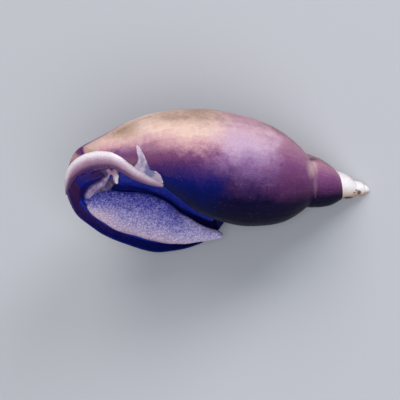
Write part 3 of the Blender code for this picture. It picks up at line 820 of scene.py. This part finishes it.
def wet_flesh():
    """Speckled lilac sole with painted shade along its upper edge and painted light at its lower
    front, blue-black mantle, and a paler head with a whitish feeler.
    """
    f = Finish("wet_flesh", 0.38, coat=0.2, specular=0.35)
    own, pixels = f.own(), f.pixels()
    across, minus_y = f.split(pixels)[:2]
    cloud = f.noise(own, 0.45, 4.0, 0.6)
    mottle = f.noise(own, 1.8, 4.0, 0.65)
    grain = f.noise(own, 7.5, 4.0, 0.75)

    # Across the sole: painted shade, dark blue, at its upper edge under the shell, paler toward its
    # lower edge.
    side = f.shifted(f.attribute("side"), cloud, 0.7)
    side = f.shifted(side, mottle, 0.35)
    sole = f.tones(
        f.maths("MULTIPLY_ADD", side, 0.5, 0.5, clamp=True), (0.0, (58, 60, 150)),
        (0.22, (98, 96, 172)), (0.45, (146, 142, 194)), (0.68, (184, 174, 208)),
        (0.88, (204, 184, 206)), (1.0, (176, 150, 168)),
    )
    # Painted light: a paler patch on the sole's lower front.
    front = f.all_of(f.eased(across, 126.0, 96.0), f.eased(minus_y, -204.0, -220.0))
    sole = f.over(sole, front, 0.75, tone(226, 202, 214))
    tail = f.eased(across, 170.0, 200.0)
    sole = f.over(sole, tail, 0.5, tone(206, 196, 220))
    clumps = f.noise(own, 3.6, 4.0, 0.8)
    sole = f.mix(0.8, sole, f.tones(clumps, (0.34, (52, 44, 96)), (0.47, (112, 108, 132)),
                                   (0.60, (252, 244, 250))), "SOFT_LIGHT")
    white = f.all_of(f.eased(grain, 0.55, 0.68), f.eased(mottle, 0.38, 0.56))
    sole = f.over(sole, white, 0.75, tone(244, 234, 242))
    dark = f.all_of(f.eased(grain, 0.45, 0.34), f.eased(clumps, 0.56, 0.44))
    sole = f.over(sole, dark, 0.5, tone(66, 52, 104))

    body = f.tones(mottle, (0.30, (26, 36, 120)), (0.5, (34, 48, 158)),
                  (0.75, (62, 66, 160)))
    bowl = f.all_of(f.eased(minus_y, -186.0, -172.0), f.eased(across, 112.0, 100.0))
    body = f.over(body, bowl, 0.8, tone(84, 54, 112))
    cheek = f.tones(mottle, (0.3, (66, 50, 78)), (0.5, (104, 88, 120)),
                   (0.75, (146, 130, 160)))
    body = f.mix(f.attribute("cheek"), body, cheek)
    head = f.tones(mottle, (0.3, (120, 98, 140)), (0.5, (162, 142, 178)),
                  (0.75, (206, 188, 206)))
    colour = f.mix(f.attribute("head"), body, head)
    knob = f.tones(f.attribute("knob"), (0.0, (164, 118, 152)), (0.45, (186, 150, 170)),
                  (0.66, (250, 244, 246)), (1.0, (246, 236, 240)))
    colour = f.mix(f.eased(f.attribute("knob"), 0.0, 0.2), colour, knob)
    colour = f.over(colour, f.attribute("feeler"), 0.85, tone(72, 48, 92))
    colour = f.marked(colour, pixels, HEAD_MARKS, grain, 1.0)
    colour = f.mix(0.35, colour, f.tones(grain, (0.32, (60, 50, 84)), (0.68, (230, 222, 234))),
                   "SOFT_LIGHT")
    colour = f.mix(f.attribute("sole"), colour, sole)

    height = f.maths("ADD", f.maths("MULTIPLY", mottle, 0.6), f.maths("MULTIPLY", grain, 0.5))
    normal = f.bump(height, 0.00010, 0.8)
    return f.done(colour, normal)


def black_eye():
    """Black gloss with a faint grey cloud."""
    f = Finish("black_eye", 0.08, coat=0.8)
    ring = f.noise(f.own(), 9.0, 2.0)
    return f.done(f.tones(ring, (0.3, (8, 8, 12)), (0.7, (26, 22, 34))))


# Pieces

# A ring of the tube: shares down the whorl, closest at suture and base, then the points of the way
# back, of which one part crosses the base and another, up to AXIS_PART, climbs the axis.
SHARES = [0.5 * (1 - math.cos(math.pi * i / 56)) for i in range(57)]
WAY_BACK = 20
BASE_PART = 0.35
AXIS_PART = 0.8
FIRST_TURN = -5.2
# Over the lip's edge: turn, and wall as a share of the lip's. Then turns and rings of the inside.
LIP_EDGE = ((0.0004, 0.35), (0.0003, 0.75), (-0.0006, 1.0), (-0.004, 1.0))
INSIDE_REACH = 0.256
INSIDE_STEPS = 44
LIP_GLAZE = 0.00005
DOWNS = SHARES + [1.0 + i / (WAY_BACK + 1) for i in range(1, WAY_BACK + 1)]


def outer_row(t):
    """Ring round the tube: down its outside, in to the axis and back up to the suture."""
    size = growth(t)
    suture, base, radius = size
    row = [outer(t, v, size) for v in SHARES]
    row[0] = (row[0][0] - 0.06 * radius, row[0][1])
    edge, thin, dip = row[-1][0], min(0.05 * radius, 0.7 * CORE), base_dip(t)
    low = suture + 0.1 * (base - suture)
    for i in range(1, WAY_BACK + 1):
        s = i / (WAY_BACK + 1)
        if s < BASE_PART:
            share = s / BASE_PART
            row.append((edge + (thin - edge) * share, base - dip * share ** 1.5))
        elif s < AXIS_PART:
            share = (s - BASE_PART) / (AXIS_PART - BASE_PART)
            row.append((thin, (base - dip) * (1 - share) + low * share))
        else:
            share = (s - AXIS_PART) / (1 - AXIS_PART)
            inward = thin * (1 - share) + 0.7 * row[0][0] * share
            row.append((inward, low * (1 - share) + suture * share))
    return row


def inner_row(t, wall, glaze):
    """Ring round the inside of the tube, a wall in from its outside."""
    thick = wall / SHELL
    size = growth(t)
    row = []
    for v in SHARES:
        w = 0.035 + 0.955 * v
        r, z = outer(t, w, size)
        r0, z0 = outer(t, w - 0.01, size)
        r1, z1 = outer(t, w + 0.01, size)
        length = math.hypot(r1 - r0, z1 - z0)
        row.append((r - thick * (z1 - z0) / length, z + thick * (r1 - r0) / length))
    before = growth(t - 1)
    edge, low, high, dip = row[-1][0], row[0][1], row[-1][1], base_dip(t)
    for i in range(1, WAY_BACK + 1):
        s = i / (WAY_BACK + 1)
        if s < BASE_PART:
            share = s / BASE_PART
            row.append((edge + (CORE - edge) * share, high - dip * share ** 1.5))
            continue
        share = (s - BASE_PART) / (1 - BASE_PART)
        z = (high - dip) * (1 - share) + low * share
        v = (z - before[0]) / (before[1] - before[0])
        wall_radius = outer(t - 1, v, before)[0] + glaze / SHELL if v < 1 else 0.0
        row.append((max(wall_radius, CORE), z))
    return row


def lip_wall(t, lip):
    """Thickness of the shell near its lip."""
    return lip + (WALL - lip) * smooth(-t, 0.0, 0.06)


def ridges(turn, down):
    """How far growth lines, rests and dents lift the shell's outside, in metres."""
    lines = noise.noise(Vector((turn * 46.0, down * 1.4, 0.0)))
    finer = noise.noise(Vector((turn * 110.0, down * 2.0, 7.0)))
    strong = noise.noise(Vector((turn * 9.0, down * 0.7, 3.0)))
    dents = noise.noise(Vector((turn * 12.0, down * 7.0, 11.0)))
    return 0.00002 * lines + 0.00001 * finer + 0.00005 * strong + 0.00005 * dents


def build_shell(settings):
    """The tube's outside from the apex to the lip, then its inside back to the mantle."""
    bm = new_body()
    t = FIRST_TURN
    edges = first_ring(bm, ring_at(t, outer_row(t)), t, DOWNS)
    bmesh.ops.edgeloop_fill(bm, edges=edges)
    while t < -0.0001:
        step = 1 / 60 if t < -3 else 1 / 110 if t < -1.1 else 1 / settings.steps
        t = min(t + step, 0.0)
        edges = next_ring(bm, edges, ring_at(t, outer_row(t)), t, DOWNS)
    bm.faces.ensure_lookup_table()
    outside = len(bm.faces)
    lip = settings.lip_wall
    for t, share in LIP_EDGE:
        row = inner_row(t, share * lip, LIP_GLAZE)
        edges = next_ring(bm, edges, ring_at(t, row), t, DOWNS)
    for k in range(1, INSIDE_STEPS + 1):
        t = LIP_EDGE[-1][0] - INSIDE_REACH * k / INSIDE_STEPS
        glaze = LIP_GLAZE + (CALLUS - LIP_GLAZE) * smooth(-t, 0.0, 0.05)
        row = inner_row(t, lip_wall(t, lip), glaze)
        edges = next_ring(bm, edges, ring_at(t, row), t, DOWNS)
    bmesh.ops.edgeloop_fill(bm, edges=edges)
    bm.faces.ensure_lookup_table()
    for face in bm.faces[outside:]:
        face.material_index = 1
    bmesh.ops.recalc_face_normals(bm, faces=bm.faces)
    turn = bm.verts.layers.float["turn"]
    down = bm.verts.layers.float["down"]
    crown = Vector((0.0, 0.0, TIP * SHELL + WEAR))
    bm.normal_update()
    for vertex in bm.verts:
        blunt = 1 + BLUNTING * (1 - smooth(vertex.co.z, 0.0004, 0.0034))
        vertex.co.x *= blunt
        vertex.co.y *= blunt
        if not any(face.material_index for face in vertex.link_faces) and vertex[down] <= 1.0:
            fade = smooth(-vertex[turn], 0.0, 0.01) * smooth(vertex[down], 0.0, 0.05)
            young = min(1.0, 0.25 * 1.6 ** (4 + vertex[turn]))
            lift = ridges(vertex[turn], vertex[down]) * fade * young
            vertex.co += vertex.normal * lift * settings.relief
        away = vertex.co - crown
        if away.z < 0 and away.length > WEAR:
            vertex.co = crown + away * (WEAR / away.length)
    return mesh_of("shell", bm)


def roll_section(radius, reach, sink):
    """Round roll with a slope that runs on from its inner side, as across and toward the viewer."""
    points = []
    for degrees in (-150 + 200 * k / 17 for k in range(18)):
        a = math.radians(degrees)
        points.append(Vector((radius * math.sin(a), radius * math.cos(a))))
    first, last = points[-1], Vector((0.8 * radius + reach, 0.3 * radius - sink))
    length = (last - first).length
    second = first + Vector((0.64, -0.77)) * 0.45 * length
    third = last - Vector((0.9, -0.45)) * 0.35 * length
    for k in range(1, 10):
        s = k / 9
        points.append(first * (1 - s) ** 3 + second * 3 * s * (1 - s) ** 2
                      + third * 3 * s * s * (1 - s) + last * s ** 3)
    for k in range(1, 6):
        points.append(last.lerp(points[0], k / 6) - Vector((0.0, 0.15 * radius)))
    return points


def build_fold():
    """Glazed roll that runs up out of the columella and back over the last whorl."""
    rows = fine_rows(FOLD, 7)
    middles = [seen(*row[:3]) for row in rows]
    last = len(rows) - 1
    rings = []
    for i, (row, middle) in enumerate(zip(rows, middles)):
        ahead = middles[min(i + 1, last)] - middles[max(i - 1, 0)]
        side = ahead.cross(VIEW_BACK).normalized()
        toward = side.cross(ahead).normalized()
        rings.append([middle + side * s + toward * w for s, w in roll_section(*row[3:])])
    bm = new_body()
    grow(bm, rings)
    return mesh_of("columella_fold", bm)


def build_callus(shell):
    """Thin ragged flap of glaze, laid on the shell where the photograph shows it."""
    view = -(TURN @ VIEW_BACK)
    rings = []
    for y, left, right in fine_rows(FLAP, 4):
        right += 0.7 * noise.noise(Vector((y * 0.9, 0.0, 5.0)))
        tops, unders = [], []
        depth = None
        for k in reversed(range(FLAP_COLUMNS)):
            share = k / (FLAP_COLUMNS - 1)
            x = left + (right - left) * share
            _, point, normal, _ = shell.ray_cast(AT_REST @ seen(x, y, FLAP_START), view)
            found = (point - SEAT).dot(-view) / PIXEL
            if depth is None or abs(found - depth) < FLAP_STEP:
                depth = found
                facing = normal
            point = AT_REST @ seen(x, y, depth)
            rise = FLAP_RISE[0] + FLAP_RISE[1] * (1 - share) * smooth(share, 0.0, 0.08)
            tops.append(point + facing * rise)
            unders.append(point - facing * FLAP_THICK)
        rings.append([AT_REST.inverted() @ point for point in tops + unders[::-1]])
    bm = new_body()
    grow(bm, rings)
    return mesh_of("callus", bm)


def foot_section(z):
    """Outline of the foot at a height: a flat sole with rounded edges over a narrow stem."""
    middle, half, level, depth = (monotone(FOOT, z, i) for i in (1, 2, 3, 4))
    stem = min(0.55, 0.0018 / half)
    edge = 0.0004 + 0.1 * half
    outline = (
        (-1.0, -edge), (-0.93, -0.35 * edge), (-0.7, 0.0), (-0.3, 0.00018), (0.0, 0.00022),
        (0.3, 0.00018), (0.7, 0.0), (0.93, -0.35 * edge), (1.0, -edge), (0.9, -1.9 * edge),
        (0.62, -0.3 * depth - edge), (stem, -depth), (0.0, -depth - 0.0001), (-stem, -depth),
        (-0.62, -0.3 * depth - edge), (-0.9, -1.9 * edge),
    )
    return [Vector((middle + half * x, level + y, z)) for x, y in round_loop(outline, 48)]


def foot_body(name, low, high):
    """The foot between two heights."""
    steps = max(int((high - low) / 0.0003), 4)
    bm = new_body()
    grow(bm, [foot_section(low + (high - low) * k / steps) for k in range(steps + 1)])
    return mesh_of(name, bm)


def strand(name, rows, section):
    """Body along rows that start with out and height, its section laid across the way it runs."""
    fine = fine_rows(rows, 8)
    last = len(fine) - 1
    rings = []
    for i, row in enumerate(fine):
        after, before = fine[min(i + 1, last)], fine[max(i - 1, 0)]
        ahead = Vector((after[0] - before[0], 0.0, after[1] - before[1]))
        side = ahead.cross(Vector((0, 1, 0))).normalized()
        rings.append([
            Vector((row[0], 0, row[1])) + side * across + Vector((0, height, 0))
            for across, height in section(row)
        ])
    bm = new_body()
    grow(bm, rings)
    return mesh_of(name, bm)


def oval(half, middle, thick, count):
    """Oval as across and height."""
    return [(half * math.cos(a), middle + thick * math.sin(a))
            for a in (2 * math.pi * i / count for i in range(count))]


def head_section(row):
    """Rounded ridge on a deep stem."""
    half, top = row[2], row[3]
    arc = [(half * math.cos(a), top + 0.75 * half * (math.sin(a) - 1))
           for a in (math.pi * i / 8 for i in range(9))]
    arc += [(-0.95 * half, top - 0.5 * HEAD_DEPTH), (-0.9 * half, top - HEAD_DEPTH)]
    arc += [(0.9 * half, top - HEAD_DEPTH), (0.95 * half, top - 0.5 * HEAD_DEPTH)]
    return arc


def feeler_section(row):
    """Flat oval, thinner where the feeler is narrow."""
    thick = 0.5 * TENTACLE_THICK * (0.55 + 0.45 * min(1.0, row[3] / 0.0006))
    return oval(row[3], row[2], thick, 16)


def tube_body(name, start, end, steps, wall_at, glaze):
    """The room inside the shell's tube between two turns, as a body."""
    bm = new_body()
    rings = []
    for k in range(steps + 1):
        t = start + (end - start) * k / steps
        rings.append(ring_at(t, inner_row(t, wall_at(t), glaze)))
    grow(bm, rings)
    return mesh_of(name, bm)


def rope_section(row):
    """Oval section, its top at the row's level."""
    return oval(row[2], row[3] - ROPE_DEPTH, ROPE_DEPTH, 20)


def nearness(rows, x, z):
    """Distance from a strand's middle line in half widths, its level there and how far along."""
    best = (9.0, 0.0, 0.0)
    for i, row in enumerate(rows):
        away = math.hypot(x - row[0], z - row[1]) / row[2]
        best = min(best, (away, row[3], i / (len(rows) - 1)))
    return best


def build_skin(settings, lip):
    """One skin over foot, head, tentacles, collar and mantle."""
    strands = (("head", HEAD, head_section), ("collar", COLLAR, rope_section),
               ("skirt", SKIRT, rope_section), ("cheek", CHEEK, rope_section))
    parts = [foot_body("foot_in_tube", *FOOT_IN_TUBE)]
    parts += [strand(*one) for one in strands]
    for part in parts:
        room = tube_body("room", *ROOM, lambda t: lip_wall(t, lip) - SINK, CALLUS - SINK)
        cut(part, room, "INTERSECT")
    parts.append(foot_body("foot_tail", *FOOT_TAIL))
    parts.append(strand("tentacle_left", TENTACLE_LEFT, feeler_section))
    parts.append(strand("tentacle_right", TENTACLE_RIGHT, feeler_section))
    bm = bmesh.new()
    bmesh.ops.create_uvsphere(bm, u_segments=20, v_segments=12, radius=KNOB_RADIUS)
    bmesh.ops.translate(bm, verts=bm.verts, vec=KNOB)
    parts.append(mesh_of("knob", bm))
    parts.append(tube_body("mantle", *MANTLE, lambda t: WALL - SINK, CALLUS - SINK))
    bm = bmesh.new()
    for part in parts:
        bm.from_mesh(part.data)
        bpy.data.objects.remove(part, do_unlink=True)
    skin = mesh_of("skin", bm)
    remesh = skin.modifiers.new("one_skin", "REMESH")
    remesh.mode = "VOXEL"
    remesh.voxel_size = settings.skin_grid
    applied(skin)
    bm = bmesh.new()
    bm.from_mesh(skin.data)
    for _ in range(2):
        bmesh.ops.smooth_vert(bm, verts=bm.verts, factor=0.5, use_axis_x=True, use_axis_y=True,
                              use_axis_z=True)
    fine = [edge for edge in bm.edges if all(in_head(vertex.co) for vertex in edge.verts)]
    bmesh.ops.subdivide_edges(bm, edges=fine, cuts=1, use_grid_fill=True, smooth=0.5)
    bmesh.ops.triangulate(bm, faces=[face for face in bm.faces if len(face.verts) > 4])
    bm.normal_update()
    layers = {name: bm.verts.layers.float.new(name)
              for name in ("sole", "side", "head", "knob", "feeler", "cheek")}
    ridge, cheek = fine_rows(HEAD, 6), fine_rows(CHEEK, 6)
    left = [(row[0], row[1], row[3], row[2]) for row in fine_rows(TENTACLE_LEFT, 6)]
    right = [(row[0], row[1], row[3], row[2]) for row in fine_rows(TENTACLE_RIGHT, 6)]
    low, high = FOOT[0][0], FOOT[-1][0]
    for vertex in bm.verts:
        x, y, z = vertex.co
        inside = min(max(z, low), high)
        middle, half, level = (monotone(FOOT, inside, i) for i in (1, 2, 3))
        across = (x - middle) / half
        beyond = max(low - z, z - high, 0.0)
        under = level - y
        share = (1 - smooth(abs(across), 0.99, 1.10)) * (1 - smooth(under, 0.0009, 0.0018))
        vertex[layers["sole"]] = share * (1 - smooth(beyond, 0.0001, 0.0004))
        # Place across the foot, which the sole's painted shade follows.
        vertex[layers["side"]] = min(max(across, -1.0), 1.0)
        if in_head(vertex.co):
            for name, rows in (("head", ridge), ("knob", left), ("feeler", right),
                               ("cheek", cheek)):
                away, top, run = nearness(rows, x, z)
                share = (1 - smooth(away, 0.9, 1.35)) * (1 - smooth(top - y, 0.0006, 0.0012))
                vertex[layers[name]] = share * (0.25 + 0.75 * run if name == "knob" else 1.0)
        lumps = noise.noise(vertex.co * 2600.0) * 0.00002 + noise.noise(vertex.co * 700.0) * 0.00005
        vertex.co += vertex.normal * lumps * settings.relief
        if in_head(vertex.co):
            vertex.co.y += mouth_lift(x, z) * smooth(y, -0.0006, -0.0001)
            for eye in EYES:
                away = math.hypot(x - eye.x, z - eye.z)
                if away < EYE_PIT and y > eye.y - EYE_PIT:
                    vertex.co.y = min(y, eye.y - 0.00004 + 0.0004 * (away / EYE_PIT) ** 3)
    bm.to_mesh(skin.data)
    bm.free()
    return skin


def in_head(point):
    """Whether a point of the skin is on the head."""
    height, out, depth = HEAD_ROOM
    return point.z > height and point.x < out and point.y > depth


def mouth_lift(x, z):
    """How far the mouth's slit sinks and its lips rise, in metres."""
    dx, dz = x - MOUTH[0], z - MOUTH[2]
    along = dx * math.cos(MOUTH_SLANT) + dz * math.sin(MOUTH_SLANT)
    over = dz * math.cos(MOUTH_SLANT) - dx * math.sin(MOUTH_SLANT)
    reach = max(0.0, 1 - (along / MOUTH_REACH) ** 2)
    slit = math.exp(-(over / MOUTH_WIDTH) ** 2)
    lips = math.exp(-((abs(over) - MOUTH_LIP) / MOUTH_WIDTH) ** 2)
    return reach * (MOUTH_RISE * lips - MOUTH_DEPTH * slit)


# Add-on

class ShellSettings(PropertyGroup):
    steps: IntProperty(
        name="Steps in a turn", description="Rings of the mesh in the last turn of the shell",
        default=260, min=60, max=600)
    relief: FloatProperty(
        name="Relief", description="How strongly growth lines and dents stand out",
        default=1.0, min=0.0, max=3.0)
    lip_wall: FloatProperty(
        name="Lip", description="Thickness of the shell at its lip",
        default=0.00028, min=0.0001, max=0.0007, unit="LENGTH")


class FleshSettings(PropertyGroup):
    skin_grid: FloatProperty(
        name="Skin grid", description="Size of the faces of the skin",
        default=0.00015, min=0.0001, max=0.0006, unit="LENGTH")
    relief: FloatProperty(
        name="Relief", description="How strongly folds and grains of the skin stand out",
        default=1.0, min=0.0, max=3.0)


class StageSettings(PropertyGroup):
    floor: FloatVectorProperty(
        name="Floor", description="Colour of the floor", subtype="COLOR",
        default=(0.50, 0.52, 0.55), min=0.0, max=1.0)
    glow: FloatProperty(
        name="Glow", description="Strength of the soft light that the shell mirrors",
        default=0.50, min=0.0)
    warm: FloatProperty(
        name="Warm light", description="Strength of the warm light over the shell's upper side",
        default=0.45, min=0.0)
    front: FloatProperty(
        name="Front light", description="Strength of the light beside the camera",
        default=0.60, min=0.0)
    ambient: FloatProperty(
        name="Ambient", description="Strength of the light from all round",
        default=0.20, min=0.0)


class SNAIL_OT_shell(Operator):
    """Build the coiled shell with its lip and growth lines"""
    bl_idname = "snail.shell"
    bl_label = "Shell"

    def execute(self, context):
        shell = build_shell(context.scene.snail_shell)
        finished(shell, [shell_outside(), shell_inside()], "shell",
                 "shell_body_whorl", "shell_spire", "shell_apex")
        return {"FINISHED"}


class SNAIL_OT_columella(Operator):
    """Build the white fold of the columella and its thin flap of glaze"""
    bl_idname = "snail.columella"
    bl_label = "Columella and callus"

    def execute(self, context):
        shell = context.scene.objects["shell"]
        context.view_layer.update()
        finished(build_callus(shell), callus_glaze(), "callus")
        finished(build_fold(), white_glaze(), "callus", "shell_columella")
        return {"FINISHED"}


class SNAIL_OT_flesh(Operator):
    """Build the skin of foot, head, tentacles and mantle"""
    bl_idname = "snail.flesh"
    bl_label = "Flesh"

    def execute(self, context):
        skin = build_skin(context.scene.snail_flesh, context.scene.snail_shell.lip_wall)
        finished(skin, wet_flesh(), "sole", "mantle", "foot_front", "foot_middle", "foot_tail",
                 "head", "tentacle_left", "tentacle_right")
        return {"FINISHED"}


class SNAIL_OT_eyes(Operator):
    """Give the eyes their black gloss"""
    bl_idname = "snail.eyes"
    bl_label = "Eyes"

    def execute(self, context):
        material = black_eye()
        for name in ("eye_left", "eye_right"):
            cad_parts[name].data.materials.clear()
            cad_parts[name].data.materials.append(material)
        return {"FINISHED"}


def look_at(thing, place_of, target):
    """Put a thing in its place and turn it toward a target."""
    thing.location = place_of
    thing.rotation_euler = (Vector(target) - Vector(place_of)).to_track_quat("-Z", "Y").to_euler()


def soft_light(name, strength, way, size, colour, mirrored):
    """Round soft light; at strength 1 it alone shows a white face that looks at it as white."""
    data = bpy.data.lights.new(name, "AREA")
    data.shape = "DISK"
    data.size = size
    data.energy = strength * (math.pi * LIGHT_DISTANCE) ** 2
    data.color = colour
    light = bpy.data.objects.new(name, data)
    light.visible_glossy = mirrored
    bpy.context.scene.collection.objects.link(light)
    look_at(light, Vector(way).normalized() * LIGHT_DISTANCE, (0.0, 0.0, 0.01))


class SNAIL_OT_stage(Operator):
    """Lay the floor, hang the lights and set the camera"""
    bl_idname = "snail.stage"
    bl_label = "Stage"

    def execute(self, context):
        settings = context.scene.snail_stage
        bm = bmesh.new()
        bmesh.ops.create_grid(bm, x_segments=2, y_segments=2, size=2.0)
        floor = mesh_of("floor", bm)
        f = Finish("floor", 0.8, specular=0.2)
        cloud = f.noise(f.here, 3.0, 2.0)
        pale = tuple(settings.floor)
        floor.data.materials.append(f.done(f.ramp(
            cloud, (0.3, tuple(0.97 * c for c in pale) + (1.0,)), (0.7, pale + (1.0,)))))

        for name, light in LIGHTS.items():
            soft_light(name, getattr(settings, name), *light)
        world = bpy.data.worlds.new("studio")
        world.use_nodes = True
        sky = world.node_tree.nodes["Background"]
        sky.inputs["Color"].default_value = SKY
        sky.inputs["Strength"].default_value = settings.ambient
        context.scene.world = world

        right, up = TURN @ VIEW_RIGHT, TURN @ VIEW_UP
        back = right.cross(up).normalized()
        aim = SEAT + right * ((AIM_PIXEL[0] - APEX_PIXEL[0]) * PIXEL)
        aim += up * ((APEX_PIXEL[1] - AIM_PIXEL[1]) * PIXEL) + back * (AIM_DEPTH * PIXEL)
        data = bpy.data.cameras.new("camera")
        data.lens = LENS
        data.sensor_width = SENSOR
        camera = bpy.data.objects.new("camera", data)
        context.scene.collection.objects.link(camera)
        camera.matrix_world = (Matrix.Translation(aim + back * DISTANCE)
                               @ Matrix((right, up, back)).transposed().to_4x4())
        context.scene.camera = camera
        context.scene.view_settings.view_transform = "Standard"
        return {"FINISHED"}


class SNAIL_PT_panel(Panel):
    """Sizes and steps of the snail's finish"""
    bl_idname = "SNAIL_PT_panel"
    bl_label = "Great pond snail"
    bl_space_type = "VIEW_3D"
    bl_region_type = "UI"
    bl_category = "Snail"

    def draw(self, context):
        for group in SETTINGS:
            settings = getattr(context.scene, group)
            box = self.layout.box()
            for name in settings.__annotations__:
                box.prop(settings, name)
        for operator in OPERATORS:
            self.layout.operator(operator.bl_idname)


SETTINGS = {
    "snail_shell": ShellSettings,
    "snail_flesh": FleshSettings,
    "snail_stage": StageSettings,
}
OPERATORS = (SNAIL_OT_stage, SNAIL_OT_shell, SNAIL_OT_columella, SNAIL_OT_flesh, SNAIL_OT_eyes)
KINDS = (*SETTINGS.values(), *OPERATORS, SNAIL_PT_panel)


def register():
    """Make the add-on's classes and settings known."""
    for kind in KINDS:
        bpy.utils.register_class(kind)
    for name, kind in SETTINGS.items():
        setattr(bpy.types.Scene, name, PointerProperty(type=kind))


def unregister():
    """Take them away again."""
    for name in SETTINGS:
        delattr(bpy.types.Scene, name)
    for kind in reversed(KINDS):
        bpy.utils.unregister_class(kind)


def main():
    """Build the pieces."""
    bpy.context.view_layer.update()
    register()
    bpy.ops.snail.stage()
    bpy.ops.snail.shell()
    bpy.ops.snail.columella()
    bpy.ops.snail.flesh()
    bpy.ops.snail.eyes()


if __name__ == "__main__":
    main()
